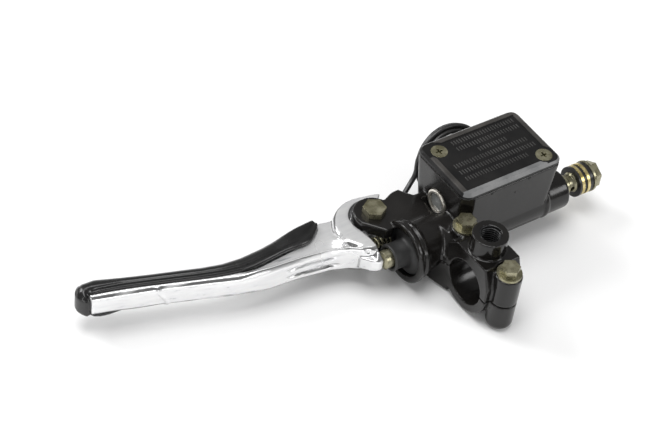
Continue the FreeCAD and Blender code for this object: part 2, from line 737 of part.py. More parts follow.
# ---------------------------------------------------------------- lever
BLOCK = size("mouth_face") - 12.0
COVER_LINE = [(-53.0, 55.3), (-58.0, 51.9), (-66.0, 49.8), (-77.0, 48.5), (-88.6, 47.5), (-97.0, 47.5),
              (-105.0, 49.0), (-117.0, 52.6), (-133.0, 58.0), (-148.0, 62.8), (-163.5, 66.6)]
COVER_FRONT = [(-163.0, 75.0), (-157.0, 74.6), (-146.0, 70.4), (-134.0, 66.2), (-121.0, 62.0),
               (-112.0, 59.0), (-103.0, 56.7), (-94.0, 55.9), (-83.0, 56.5), (-71.0, 58.1), (-60.0, 59.2),
               (-53.5, 59.6)]
REAR_LINE = [(-163.5, 63.8), (-151.0, 60.3), (-134.0, 55.4), (-117.0, 49.6), (-101.0, 44.0), (-86.0, 41.4),
             (-70.6, 40.2), (-56.0, 38.0), (-48.0, 35.3), (-43.0, 32.0), (-37.5, 30.6)]


def brake_lever():
    """Cast lever: hub between the ears, hook round the nose, push block and blade."""
    body = new_body("brake_lever")
    low = (BLOCK, 30.6)
    high = (BLOCK, 37.5)
    hook_start = polar(PIVOT, size("hook_inner"), 185.0)
    hook_tip = polar(PIVOT, size("hook_inner"), 44.0)
    hook_tip_out = polar(PIVOT, size("hook_outer"), 44.0)
    blade = straight([REAR_LINE[-1], low, high, hook_start])
    blade = blade + [arc(PIVOT, size("hook_inner"), 185.0, 44.0)] + straight([hook_tip, hook_tip_out])
    blade = blade + [smooth([hook_tip_out, (-20.5, 60.2), (-25.0, 61.1), (-29.5, 61.8), (-34.0, 61.6),
                             (-38.8, 60.0), (-43.2, 57.2)])]
    blade = blade + [smooth([(-43.2, 57.2), (-47.5, 57.2), (-52.0, 57.4), COVER_LINE[0]])]
    blade = blade + [smooth(COVER_LINE)] + straight([COVER_LINE[-1], REAR_LINE[0]]) + [smooth(REAR_LINE)]
    pad(body, outline_sketch(body, "XY_Plane", blade), "lever_height", midplane=True)

    hub = [(BLOCK, 36.0), (BLOCK, 41.5), (-30.0, 41.5), (-24.5, 46.0), (-21.0, 52.5), (-23.5, 57.7),
           (-29.0, 58.9), (-36.0, 55.0), (-38.6, 47.0), (-36.5, 40.0)]
    pad(body, outline_sketch(body, "XY_Plane", polygon(hub)), "ear_inner*2-0.6", midplane=True)
    pad(body, circle_sketch(body, "XY_Plane", "hub_radius", "pivot_back", "pivot_side"), "ear_inner*2-0.6",
        midplane=True)
    lug = polygon([
        (BLOCK, 25.6), (BLOCK, 37.5), (-45.0, 37.5), (-45.0, 31.5), (-41.5, 27.4), (-38.5, 25.6)])
    pad(body, outline_sketch(body, "XY_Plane", lug), "lug_height", midplane=True)
    pad(body, outline_sketch(body, "XY_Plane", core_outline()), "core_height", midplane=True)
    bush_hole = circle_sketch(body, "XY_Plane", "pin_radius+1.6", "pivot_back", "pivot_side", "20")
    pocket(body, bush_hole, "40")
    return body


def core_outline():
    """The metal under the cover, one cover wall inside its front."""
    wall = size("cover_wall")
    tip = (-163.0, 72.6)
    root = (-55.0, 57.3)
    front = [tip] + [(x, y - wall) for x, y in COVER_FRONT[1:-1]] + [root]
    outline = [smooth(COVER_LINE)] + straight([COVER_LINE[-1], tip])
    return outline + [smooth(front)] + straight([root, COVER_LINE[0]])


def lever_cover():
    """Soft cap over the front, top, underside and tip of the blade."""
    body = new_body("lever_cover")
    end = smooth([COVER_FRONT[-1], (-52.6, 57.8), COVER_LINE[0]])
    tip = smooth([COVER_LINE[-1], (-163.6, 65.2), (-164.6, 64.2), (-167.0, 66.4), (-168.0, 70.0),
                  (-166.4, 73.6), COVER_FRONT[0]])
    outer = [smooth(COVER_LINE), tip, smooth(COVER_FRONT), end]
    pad(body, outline_sketch(body, "XY_Plane", outer), "cover_height", midplane=True)
    pocket(body, outline_sketch(body, "XY_Plane", core_outline()), "core_height", midplane=True)
    return body


def pivot_bush():
    body = new_body("pivot_bush")
    ring = circle_sketch(body, "XY_Plane", "pin_radius+1.6", "pivot_back", "pivot_side")
    circle_sketch_in(ring, size("pin_radius") + size("fit_gap"))
    pad(body, ring, "ear_inner*2-0.4", midplane=True)
    return body


# ---------------------------------------------------------------- brake light switch and lead
def switch_pieces():
    """Plunger switch under the perch: housing, its screw, and the plunger."""
    housing = new_body("switch_housing")
    shell = rectangle_sketch(housing, "XY_Plane", "10.4", "8.1", "-13", "49.9", "-10.4")
    block = pad(housing, shell, "9.2")
    fillet(housing, block, edges_where(block, lambda e: e.BoundBox.ZLength > 5), "1.2")
    bore = circle_sketch(housing, "YZ_Plane", "plunger_radius+fit_gap", "plunger_side", "plunger_level",
                         "-14")
    pocket(housing, bore, "9.5", reverse=True)
    screw_hole = circle_sketch(housing, "XY_Plane", "1.7", "switch_screw_x", "switch_screw_y", "0")
    pocket(housing, screw_hole, "20")
    turned_upright("switch_screw", [
        (-12.6, 0), (-12.6, 1.6), (-11.9, 2.7), (-10.4, 2.7), (-10.4, 1.5), (3.6, 1.5), (3.6, 0)],
        "switch_screw_x", "switch_screw_y")
    plunger = new_body("switch_plunger")
    radius = size("plunger_radius")
    tip = -17.5
    dome = [(tip - radius * math.cos(math.radians(a)), radius * math.sin(math.radians(a)))
            for a in (0, 18, 36, 54, 72, 90)]
    revolve(plunger, dome + [(-9.5, radius), (-9.5, 0)], y="plunger_side", z="plunger_level")


def coil_frame():
    """Centre of the lead's coil and its across and up directions."""
    tilt = math.radians(size("coil_tilt"))
    return Vector(27.9, 64.2, 3.1), Vector(1, 0, 0), Vector(0, math.sin(tilt), math.cos(tilt))


def tube(label, route, radius):
    """Round cord solid along straight runs joined by tangent arcs."""
    points = [Vector(*place) for place in route]
    edges = []
    start = points[0]
    for before, corner, after in zip(points, points[1:], points[2:]):
        back = (before - corner)
        forth = (after - corner)
        run = min(back.Length, forth.Length)
        back.normalize()
        forth.normalize()
        turn = math.pi - back.getAngle(forth)
        reach = 0.45 * run
        bend = reach / math.tan(turn / 2.0)
        enter = corner + back * reach
        leave = corner + forth * reach
        bisector = (back + forth)
        bisector.normalize()
        middle = corner + bisector * (math.hypot(reach, bend) - bend)
        edges.append(Part.LineSegment(start, enter).toShape())
        edges.append(Part.Arc(enter, middle, leave).toShape())
        print("%s: bend radius %.1f mm" % (label, bend))
        start = leave
    edges.append(Part.LineSegment(start, points[-1]).toShape())
    path = Part.Wire(edges)
    section = Part.Wire([Part.makeCircle(radius, points[0], points[1] - points[0])])
    solid = path.makePipeShell([section], True, False)
    expected = math.pi * radius ** 2 * path.Length
    print("%s: length %.1f mm, volume %.1f of %.1f mm3" % (label, path.Length, solid.Volume, expected))
    if abs(solid.Volume - expected) > 0.02 * expected:
        raise RuntimeError("the tube %s has the wrong volume" % label)
    feature = doc.addObject("Part::Feature", label)
    feature.Label = label
    feature.Shape = solid
    return feature


LEAD_ROUTE = [(-0.4, 59.9, -1.3), (4.2, 62.3, 0.5), (8.6, 64.0, 4.3), (9.6, 65.9, 10.0)]
END_ROUTE = [(44.3, 62.2, -1.6), (46.8, 61.2, -7.2), (51.5, 60.4, -11.8), (57.0, 60.2, -13.5)]


def lead_pieces():
    """Strain relief, free lead, its tied coil, and the plug on its end."""
    relief = doc.addObject("Part::Cone", "lead_strain_relief")
    relief.Label = "lead_strain_relief"
    relief.Radius1 = 2.3
    bind(relief, "Radius2", "lead_radius+0.3")
    direction = Vector(*LEAD_ROUTE[1]) - Vector(*LEAD_ROUTE[0])
    direction.normalize()
    relief.Height = 3.6
    wide_end = Vector(*LEAD_ROUTE[0]) - direction * 3.6
    relief.Placement = Placement(wide_end, Rotation(Vector(0, 0, 1), direction))
    tube("lead_run", LEAD_ROUTE, size("lead_radius"))
    tube("lead_end", END_ROUTE, size("lead_radius"))
    centre, across, up = coil_frame()
    coil = doc.addObject("Part::Torus", "lead_coil")
    coil.Label = "lead_coil"
    bind(coil, "Radius1", "coil_radius")
    bind(coil, "Radius2", "coil_section")
    coil.Placement = Placement(centre, Rotation(Vector(0, 0, 1), across.cross(up)))
    tie_place = centre + across * size("coil_radius")
    outer = doc.addObject("Part::Cylinder", "tie_outside")
    bind(outer, "Radius", "coil_section+0.9")
    outer.Height = 4.0
    inner = doc.addObject("Part::Cylinder", "tie_inside")
    bind(inner, "Radius", "coil_section+0.3")
    inner.Height = 4.0
    tie = doc.addObject("Part::Cut", "lead_tie")
    tie.Label = "lead_tie"
    tie.Base = outer
    tie.Tool = inner
    tie.Placement = Placement(tie_place - up * 2.0, Rotation(Vector(0, 0, 1), up))
    turned("lead_connector", [
        (57.0, 0), (57.0, 1.9), (60.0, 2.4), (70.0, 2.4), (70.0, 1.9), (72.5, 1.9), (72.5, 0)],
        y="60.2", z="-13.5")


# ---------------------------------------------------------------- build, check and write
master_cylinder_body()
clamp_cap()
clamp_bolts()
pivot_bolt()
pivot_nut()
reservoir_lid()
lid_screws()
diaphragm()
diaphragm_plate()
port_baffle()
sight_glass()
outlet_pieces()
cylinder_internals()
spring("piston_return_spring", 4.0, 0.5, 18.1, size("bore_end") - 0.1, 8.0, size("cylinder_offset"), 0.0)
spring("lever_return_spring", 2.3, 0.45, BLOCK + 0.1, size("mouth_face") - 0.1, 5.0, 38.0, 1.2)
brake_lever()
lever_cover()
pivot_bush()
switch_pieces()
lead_pieces()
doc.recompute()

NODES = [
    "master_cylinder_body", "clamp_cap", "clamp_bolts", "pivot_bolt", "pivot_nut", "reservoir_lid",
    "lid_screws", "diaphragm", "diaphragm_plate", "port_baffle", "sight_glass_bezel",
    "sight_glass_lens", "sight_glass_seal", "banjo_bolt", "sealing_washers", "washer_rubbers",
    "hose_spacers", "dust_boot", "stop_washer", "circlip", "piston", "primary_cup", "secondary_cup",
    "piston_return_spring", "lever_return_spring", "brake_lever", "lever_cover", "pivot_bush",
    "switch_housing", "switch_screw", "switch_plunger", "lead_strain_relief", "lead_run",
    "lead_coil", "lead_end", "lead_tie", "lead_connector",
]

for item in doc.Objects:
    if "Invalid" in item.State or "Error" in item.State:
        raise RuntimeError("%s failed: %s" % (item.Label, item.State))
os.makedirs("parts", exist_ok=True)
for label in NODES:
    shape = doc.getObjectsByLabel(label)[0].Shape
    if shape.isNull() or not shape.isValid() or not shape.Solids:
        raise RuntimeError("%s has no valid solid" % label)
    shape.exportStep(os.path.join("parts", label + ".step"))
    print("%-24s %d solid(s) %10.1f mm3" % (label, len(shape.Solids), shape.Volume))
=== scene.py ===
"""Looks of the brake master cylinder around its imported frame. Metres, row frame."""

import math

import bmesh
import bpy
import numpy as np
from mathutils import Matrix, Vector


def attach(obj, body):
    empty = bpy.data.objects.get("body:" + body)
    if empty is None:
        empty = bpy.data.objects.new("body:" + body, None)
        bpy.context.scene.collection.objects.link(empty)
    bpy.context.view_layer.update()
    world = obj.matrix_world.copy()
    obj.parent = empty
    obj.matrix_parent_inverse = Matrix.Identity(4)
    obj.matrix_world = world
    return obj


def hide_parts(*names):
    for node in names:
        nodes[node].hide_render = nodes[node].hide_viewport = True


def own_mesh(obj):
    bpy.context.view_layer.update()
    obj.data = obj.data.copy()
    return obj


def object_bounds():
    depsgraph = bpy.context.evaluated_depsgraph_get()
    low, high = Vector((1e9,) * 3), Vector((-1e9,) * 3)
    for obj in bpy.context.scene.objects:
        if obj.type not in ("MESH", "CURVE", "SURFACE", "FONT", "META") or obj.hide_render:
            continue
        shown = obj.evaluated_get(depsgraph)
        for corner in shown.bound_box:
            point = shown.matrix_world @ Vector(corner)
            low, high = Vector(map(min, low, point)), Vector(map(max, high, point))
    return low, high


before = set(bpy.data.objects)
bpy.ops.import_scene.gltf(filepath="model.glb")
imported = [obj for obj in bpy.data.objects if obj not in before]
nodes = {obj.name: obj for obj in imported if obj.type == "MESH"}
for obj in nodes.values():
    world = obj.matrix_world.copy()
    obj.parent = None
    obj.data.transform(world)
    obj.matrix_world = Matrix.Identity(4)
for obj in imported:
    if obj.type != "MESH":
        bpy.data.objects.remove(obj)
cad_low, cad_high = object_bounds()

MM = 0.001
MM_PER_METRE = 1000.0

# metres
CYLINDER_Y = 0.0282
LID_BORDER_Z = 0.03048
LID_FRONT_Y = 0.0234
BLADE_START_X = -0.047
FLOOR_GAP = 0.0002
FLOOR_REACH = 6.0
CAST_VOXEL = 0.00048
LEVER_VOXEL = 0.0004

# millimetres
PIVOT_X, PIVOT_Y = -27.5, 48.0
LEVER_HALF = 7.0
BLADE_HALF = 6.3
WEB_HALF = 4.5
BOSS_X, BOSS_Y, BOSS_HALF = -47.6, 43.0, 6.8
FINGER_END_Y, FINGER_HALF = 25.2, 2.4
COVER_HALF = 7.4
PAD_LEVEL = 6.2
TICK_GAP = 1.5

# other values
PAD_TURN = math.radians(18.0)
EDGE_SLOPE = 0.3
NO_LIMIT = 99.0
CAST_ROUNDS = 2


# ---------------------------------------------------------------- materials
class Material:
    """A node material with short helpers."""

    def __init__(self, name):
        self.material = bpy.data.materials.new(name)
        self.material.use_nodes = True
        self.tree = self.material.node_tree
        self.shader = self.tree.nodes["Principled BSDF"]
        self.coords = self.tree.nodes.new("ShaderNodeTexCoord").outputs["Object"]

    def set(self, **values):
        for word, value in values.items():
            self.shader.inputs[word.replace("_", " ")].default_value = value
        return self

    def link(self, source, socket):
        self.tree.links.new(source, socket)

    def feed(self, socket, value):
        """Join a node's output to the socket, or set the socket's own value."""
        if isinstance(value, bpy.types.NodeSocket):
            self.link(value, socket)
        else:
            socket.default_value = value

    def noise(self, scale, detail=3.0, stretch=None, rough=0.5):
        node = self.tree.nodes.new("ShaderNodeTexNoise")
        node.inputs["Scale"].default_value = scale
        node.inputs["Detail"].default_value = detail
        node.inputs["Roughness"].default_value = rough
        source = self.coords
        if stretch:
            mapping = self.tree.nodes.new("ShaderNodeMapping")
            mapping.inputs["Scale"].default_value = stretch
            self.link(source, mapping.inputs["Vector"])
            source = mapping.outputs["Vector"]
        self.link(source, node.inputs["Vector"])
        return node.outputs["Fac"]

    def ramp(self, source, stops):
        """Colour ramp from (position, colour) stops; a plain number is a grey."""
        node = self.tree.nodes.new("ShaderNodeValToRGB")
        marks = node.color_ramp.elements
        while len(marks) < len(stops):
            marks.new(0.5)
        for mark, (position, colour) in zip(marks, stops):
            mark.position = position
            mark.color = (*colour, 1.0) if isinstance(colour, tuple) else (colour, colour, colour, 1.0)
        self.link(source, node.inputs["Fac"])
        return node.outputs["Color"]

    def mix(self, factor, first, second, blend="MIX"):
        """Blend of two colours, each a node's output or three numbers."""
        node = self.tree.nodes.new("ShaderNodeMix")
        node.data_type = "RGBA"
        node.blend_type = blend
        self.feed(node.inputs["Factor"], factor)
        for socket, value in ((node.inputs["A"], first), (node.inputs["B"], second)):
            self.feed(socket, (*value, 1.0) if isinstance(value, tuple) else value)
        return node.outputs["Result"]

    def maths(self, operation, first, second=0.0):
        node = self.tree.nodes.new("ShaderNodeMath")
        node.operation = operation
        for socket, value in zip(node.inputs, (first, second)):
            self.feed(socket, value)
        return node.outputs[0]

    def axis(self, letter, source=None):
        node = self.tree.nodes.new("ShaderNodeSeparateXYZ")
        self.link(source or self.coords, node.inputs[0])
        return node.outputs[letter]

    def normal(self):
        return self.tree.nodes.new("ShaderNodeNewGeometry").outputs["Normal"]

    def colour(self, source):
        self.link(source, self.shader.inputs["Base Color"])
        return self

    def rough(self, source):
        self.link(source, self.shader.inputs["Roughness"])
        return self

    def bump(self, source, height, strength=0.5, soften=0.0):
        """Fine relief of this height; soften is the radius that edges are rounded to in the light."""
        node = self.tree.nodes.new("ShaderNodeBump")
        node.inputs["Strength"].default_value = strength
        node.inputs["Distance"].default_value = height
        self.link(source, node.inputs["Height"])
        if soften:
            round_edge = self.tree.nodes.new("ShaderNodeBevel")
            round_edge.samples = 4
            round_edge.inputs["Radius"].default_value = soften
            self.link(round_edge.outputs["Normal"], node.inputs["Normal"])
        self.link(node.outputs["Normal"], self.shader.inputs["Normal"])
        return self


def gloss_paint(name, tint, rough_low, rough_high, soften):
    """Thick paint with a faint grain, a little uneven in tone and shine."""
    look = Material(name)
    grain = look.noise(900.0, 3.0)
    cloud = look.noise(60.0, 4.0)
    dark = tuple(0.7 * c for c in tint)
    light = tuple(1.5 * c for c in tint)
    look.colour(look.ramp(cloud, [(0.3, dark), (0.75, light)]))
    look.rough(look.ramp(cloud, [(0.35, rough_low), (0.7, rough_high)]))
    look.bump(grain, 0.00006, 0.35, soften)
    look.set(Specular_IOR_Level=0.42)
    return look


def zinc(name, dark, bright, rough=0.34):
    """Plated metal: mottled, a little dull."""
    look = Material(name)
    cloud = look.noise(260.0, 2.0)
    fine = look.noise(2600.0, 2.0)
    look.colour(look.ramp(cloud, [(0.3, dark), (0.72, bright)]))
    look.rough(look.ramp(cloud, [(0.3, rough - 0.08), (0.7, rough + 0.1)]))
    look.bump(fine, 0.00004, 0.4, 0.00018)
    look.set(Metallic=0.85)
    return look


def soft_black(name, level, rough, height=0.00005, soften=0.0002, scale=1800.0):
    """Rubber or plastic of a dark grey level, with a fine grain."""
    look = Material(name)
    cloud = look.noise(90.0, 3.0)
    fine = look.noise(scale, 3.0)
    look.colour(look.ramp(cloud, [(0.3, 0.7 * level), (0.7, 1.4 * level)]))
    look.rough(look.ramp(cloud, [(0.3, rough - 0.05), (0.7, rough + 0.07)]))
    look.bump(fine, height, 0.5, soften)
    return look


def lid_with_painted_edge_highlights():
    """Dark sunk panel and lighter worn border, with a pale painted highlight along the border's flat front
    and on the front and far slopes.
    """
    look = Material("lid_paint")
    cloud = look.noise(110.0, 4.0)
    facing = look.normal()
    facing_up = look.maths("GREATER_THAN", look.axis("Z", facing), EDGE_SLOPE)
    on_border = look.maths("GREATER_THAN", look.axis("Z"), LID_BORDER_Z)
    # painted highlight: the flat front of the border and the slopes facing front or far get the pale tones
    # below
    flat_front = look.maths("MULTIPLY", on_border, look.maths("LESS_THAN", look.axis("Y"), LID_FRONT_Y))
    forwards = look.maths("MULTIPLY", look.axis("Y", facing), -1.0)
    front_slope = look.maths("MULTIPLY", look.maths("GREATER_THAN", forwards, EDGE_SLOPE), facing_up)
    away = look.maths("ADD", look.axis("Y", facing), look.axis("X", facing))
    far_slope = look.maths("MULTIPLY", look.maths("GREATER_THAN", away, EDGE_SLOPE), facing_up)
    panel_tone = look.ramp(cloud, [(0.3, (0.004, 0.004, 0.0042)), (0.75, (0.009, 0.0085, 0.008))])
    rim_tone = look.ramp(cloud, [(0.3, (0.03, 0.028, 0.026)), (0.7, (0.06, 0.056, 0.052))])
    front_highlight_tone = look.ramp(cloud, [(0.3, (0.1, 0.103, 0.105)), (0.7, (0.19, 0.19, 0.19))])
    far_highlight_tone = look.ramp(cloud, [(0.3, (0.07, 0.07, 0.07)), (0.7, (0.13, 0.13, 0.13))])
    tone = look.mix(on_border, panel_tone, rim_tone)
    tone = look.mix(far_slope, tone, far_highlight_tone)
    tone = look.mix(look.maths("MAXIMUM", flat_front, front_slope), tone, front_highlight_tone)
    look.colour(tone)
    look.rough(look.ramp(cloud, [(0.3, 0.3), (0.75, 0.42)]))
    look.bump(look.noise(1500.0, 3.0), 0.00006, 0.5, 0.0003)
    look.set(Specular_IOR_Level=0.3)
    return look


def milky_glass():
    """Grey glass, a little milky."""
    look = Material("sight_glass")
    cloud = look.noise(500.0, 2.0)
    look.colour(look.ramp(cloud, [(0.3, (0.38, 0.39, 0.38)), (0.7, (0.6, 0.61, 0.6))]))
    look.bump(cloud, 0.00003, 0.3)
    look.set(Roughness=0.06, Transmission_Weight=0.55, IOR=1.5)
    return look


def bright_casting():
    """Cast aluminium streaked along the blade, with shade painted on the shoulders and downward faces by how
    they lean, left out in patches on the blade.
    """
    look = Material("polished_lever")
    streak = look.noise(60.0, 4.0, stretch=(1.0, 7.0, 7.0), rough=0.6)
    blotch = look.noise(45.0, 3.0)
    fine = look.noise(700.0, 3.0, stretch=(0.25, 3.0, 3.0))
    metal = [(0.26, (0.4, 0.41, 0.43)), (0.36, (0.78, 0.78, 0.79)), (0.8, (0.9, 0.9, 0.89))]
    tone = look.ramp(streak, metal)
    # painted shade: the ramp below darkens faces by how far they lean from upright
    turned_up = look.maths("MULTIPLY", look.maths("ADD", look.axis("Z", look.normal()), 1.0), 0.5)
    lean = [(0.3, 0.2), (0.44, 1.0), (0.75, 1.0), (0.82, 0.25), (0.92, 0.22), (0.975, 1.0)]
    shade = look.ramp(turned_up, lean)
    patch = look.noise(38.0, 3.0, stretch=(0.5, 3.0, 3.0))
    patchy = look.ramp(patch, [(0.36, 1.0), (0.46, 0.0)])
    on_blade = look.maths("LESS_THAN", look.axis("X"), BLADE_START_X)
    shade = look.mix(look.maths("MULTIPLY", patchy, on_blade), shade, (1.0, 1.0, 1.0))
    look.colour(look.mix(1.0, tone, shade, "MULTIPLY"))
    look.rough(look.ramp(blotch, [(0.3, 0.16), (0.7, 0.3)]))
    look.bump(look.maths("ADD", blotch, look.maths("MULTIPLY", fine, 0.12)), 0.0006, 0.5)
    look.set(Metallic=0.62)
    return look


casting = gloss_paint("black_casting", (0.0075, 0.0068, 0.0062), 0.14, 0.26, 0.0005)
relief = gloss_paint("worn_relief", (0.03, 0.029, 0.028), 0.3, 0.45, 0.0)
painted_pit_shade = gloss_paint("pit_shadow", (0.002, 0.002, 0.002), 0.5, 0.6, 0.0)
thread_metal = gloss_paint("painted_thread", (0.02, 0.02, 0.021), 0.25, 0.4, 0.0)
lid_paint = lid_with_painted_edge_highlights()
olive = zinc("olive_zinc", (0.22, 0.205, 0.125), (0.4, 0.38, 0.27), rough=0.27)
brass = zinc("bright_brass", (0.46, 0.37, 0.13), (0.78, 0.66, 0.33), rough=0.26)
steel = zinc("plain_steel", (0.34, 0.34, 0.33), (0.6, 0.6, 0.59), rough=0.3)
bezel = zinc("cream_bezel", (0.62, 0.58, 0.5), (0.85, 0.82, 0.76), rough=0.3)
rubber = soft_black("satin_rubber", 0.018, 0.48)
cover_skin = soft_black("soft_cover_skin", 0.008, 0.24, height=0.00002, soften=0.0, scale=2600.0)
plastic = soft_black("black_plastic", 0.02, 0.42)
spacer_black = soft_black("spacer_black", 0.01, 0.3)
lead_skin = soft_black("lead_insulation", 0.02, 0.3, height=0.00004, soften=0.0001, scale=900.0)
diaphragm_rubber = soft_black("bellows_rubber", 0.03, 0.6)
glass = milky_glass()
polished = bright_casting()

finishes = {
    casting: ["master_cylinder_body", "clamp_cap"],
    olive: ["clamp_bolts", "pivot_bolt", "pivot_nut", "lid_screws", "banjo_bolt", "piston"],
    lid_paint: ["reservoir_lid"],
    rubber: ["sight_glass_seal", "washer_rubbers", "dust_boot", "primary_cup", "secondary_cup"],
    diaphragm_rubber: ["diaphragm"],
    plastic: ["diaphragm_plate", "switch_housing", "switch_plunger", "lead_strain_relief", "lead_connector",
              "lead_tie"],
    steel: ["port_baffle", "stop_washer", "circlip", "piston_return_spring", "lever_return_spring",
            "switch_screw"],
    bezel: ["sight_glass_bezel"],
    glass: ["sight_glass_lens"],
    brass: ["sealing_washers", "pivot_bush"],
    spacer_black: ["hose_spacers"],
    polished: ["brake_lever"],
    cover_skin: ["lever_cover"],
    lead_skin: ["lead_run", "lead_coil", "lead_end"],
}


# ---------------------------------------------------------------- mesh helpers
def paint(mesh, finish):
    """Give the mesh this finish alone."""
    mesh.materials.clear()
    mesh.materials.append(finish.material)


def add_object(name, data):
    """A new object in the scene."""
    piece = bpy.data.objects.new(name, data)
    bpy.context.scene.collection.objects.link(piece)
    return piece


def add_mesh(name, mesh, finish):
    piece = add_object(name, mesh)
    paint(mesh, finish)
    return piece


def smooth_shade(mesh):
    mesh.polygons.foreach_set("use_smooth", [True] * len(mesh.polygons))
    mesh.update()


def mesh_from(work, name):
    """A smooth-shaded mesh from a bmesh, which is freed."""
    mesh = bpy.data.meshes.new(name)
    work.to_mesh(mesh)
    work.free()
    smooth_shade(mesh)
    return mesh


def copy_of(node, name):
    """A free copy of a CAD node's mesh, in the row frame, with its split vertices joined."""
    mesh = nodes[node].data.copy()
    mesh.transform(nodes[node].matrix_world)
    work = bmesh.new()
    work.from_mesh(mesh)
    bmesh.ops.remove_doubles(work, verts=work.verts, dist=0.000002)
    work.to_mesh(mesh)
    work.free()
    return add_object(name, mesh)


def soften(piece, voxel, rounds):
    """Even skin of this voxel size with its edges relaxed, as the piece's own mesh."""
    remesh = piece.modifiers.new("skin", "REMESH")
    remesh.mode = "VOXEL"
    remesh.voxel_size = voxel
    relax = piece.modifiers.new("soften", "SMOOTH")
    relax.factor = 0.5
    relax.iterations = rounds
    depsgraph = bpy.context.evaluated_depsgraph_get()
    baked = bpy.data.meshes.new_from_object(piece.evaluated_get(depsgraph))
    piece.modifiers.clear()
    piece.data = baked
    smooth_shade(piece.data)
    return piece


def place(piece, body, slot, *replaced):
    """Fix the piece to a body and hide the CAD nodes it stands for; slot is not used."""
    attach(piece, body)
    if replaced:
        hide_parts(*replaced)
    return piece


def small_blocks(name, blocks, finish, round_by, segments=2, turn=0.0):
    """Soft-edged small blocks from (centre, size) pairs in millimetres, turned about Z, as one mesh."""
    work = bmesh.new()
    for centre, extent in blocks:
        made = bmesh.ops.create_cube(work, size=1.0)["verts"]
        bmesh.ops.scale(work, vec=tuple(e * MM for e in extent), verts=made)
        if turn:
            bmesh.ops.rotate(work, cent=(0, 0, 0), matrix=Matrix.Rotation(turn, 3, "Z"), verts=made)
        bmesh.ops.translate(work, vec=tuple(c * MM for c in centre), verts=made)
    bmesh.ops.bevel(work, geom=work.edges[:], offset=round_by * MM, segments=segments, affect="EDGES",
                    profile=0.6)
    return add_mesh(name, mesh_from(work, name), finish)


def lathe(name, outline, centre_y, centre_z, segments):
    """Closed surface turned about an axis along X from (x, radius) points in millimetres."""
    work = bmesh.new()
    rings = []
    for x, radius in outline:
        ring = []
        for step in range(segments):
            angle = 2.0 * math.pi * step / segments
            y = centre_y + radius * MM * math.cos(angle)
            z = centre_z + radius * MM * math.sin(angle)
            ring.append(work.verts.new((x * MM, y, z)))
        rings.append(ring)
    for first, second in zip(rings, rings[1:] + rings[:1]):
        for step in range(segments):
            after = (step + 1) % segments
            work.faces.new((first[step], first[after], second[after], second[step]))
    bmesh.ops.recalc_face_normals(work, faces=work.faces)
    return mesh_from(work, name)


def inner_thread(name, radius, depth, pitch, turns, segments=48):
    """A coiled ridge that stands inwards from a hole's wall; the hole's axis is Z from 0 down."""
    work = bmesh.new()
    root = radius - 0.02
    total = int(turns * segments)
    rings = []
    for step in range(total + 1):
        angle = 2.0 * math.pi * step / segments
        drop = -pitch * step / segments
        fade = min(1.0, step / (segments * 0.5), (total - step) / (segments * 0.5))
        crest = radius - depth * fade
        section = ((root, 0.46 * pitch), (crest, 0.06 * pitch),
                   (crest, -0.06 * pitch), (root, -0.46 * pitch))
        ring = []
        for r, dz in section:
            x = r * MM * math.cos(angle)
            y = r * MM * math.sin(angle)
            ring.append(work.verts.new((x, y, (drop + dz) * MM)))
        rings.append(ring)
    for first, second in zip(rings, rings[1:]):
        for side in range(4):
            after = (side + 1) % 4
            work.faces.new((first[side], second[side], second[after], first[after]))
    work.faces.new(rings[0])
    work.faces.new(rings[-1][::-1])
    bmesh.ops.recalc_face_normals(work, faces=work.faces)
    return mesh_from(work, name)


for finish, names in finishes.items():
    for name in names:
        paint(nodes[name].data, finish)

# ---------------------------------------------------------------- the lead, one smooth spline
LEAD_IN = [(-0.4, 59.9, -1.3), (4.2, 62.3, 0.5), (8.6, 64.0, 4.3), (9.6, 65.9, 10.0)]
LEAD_OUT = [(44.3, 62.2, -1.6), (46.8, 61.2, -7.2), (51.5, 60.4, -11.8), (57.0, 60.2, -13.5)]
LEAD_RADIUS = 1.25
BUNDLE_RADIUS = LEAD_RADIUS * 1.38
COIL_CENTRE = Vector((27.9, 64.2, 3.1))
COIL_RADIUS = 17.0
COIL_TILT = math.radians(20.0)
COIL_UP = Vector((0.0, math.sin(COIL_TILT), math.cos(COIL_TILT)))
COIL_ACROSS = Vector((1.0, 0.0, 0.0))
COIL_SIDE = COIL_ACROSS.cross(COIL_UP)
COIL_FIRST = math.radians(146.0)
COIL_LAST = math.radians(-4.0) - 6.0 * math.pi
COIL_STEPS = 84
FIRST_LAY = math.radians(10.0)


def coil_points():
    """The coil's turns, which wander round their bundle so that they lie beside each other."""
    turns = []
    for step in range(COIL_STEPS + 1):
        turn = COIL_FIRST + (COIL_LAST - COIL_FIRST) * step / COIL_STEPS
        lay = FIRST_LAY + (COIL_FIRST - turn) / 4.0
        reach = COIL_RADIUS + BUNDLE_RADIUS * math.cos(lay)
        side = BUNDLE_RADIUS * math.sin(lay)
        outwards = COIL_ACROSS * math.cos(turn) + COIL_UP * math.sin(turn)
        turns.append(COIL_CENTRE + outwards * reach + COIL_SIDE * side)
    return turns


def lead_curve(points):
    """Round cable of the lead's thickness through the points."""
    curve = bpy.data.curves.new("lead", "CURVE")
    curve.dimensions = "3D"
    curve.resolution_u = 6
    curve.bevel_depth = LEAD_RADIUS * MM
    curve.bevel_resolution = 6
    curve.use_fill_caps = True
    spline = curve.splines.new("NURBS")
    spline.points.add(len(points) - 1)
    for target, source in zip(spline.points, points):
        target.co = (*(source * MM), 1.0)
    spline.order_u = 3
    spline.use_endpoint_u = True
    curve.materials.append(lead_skin.material)
    return curve


lead_points = [Vector(p) for p in LEAD_IN] + coil_points() + [Vector(p) for p in LEAD_OUT]
lead = add_object("switch_lead", lead_curve(lead_points))
place(lead, "body", "lead", "lead_run", "lead_coil", "lead_end")


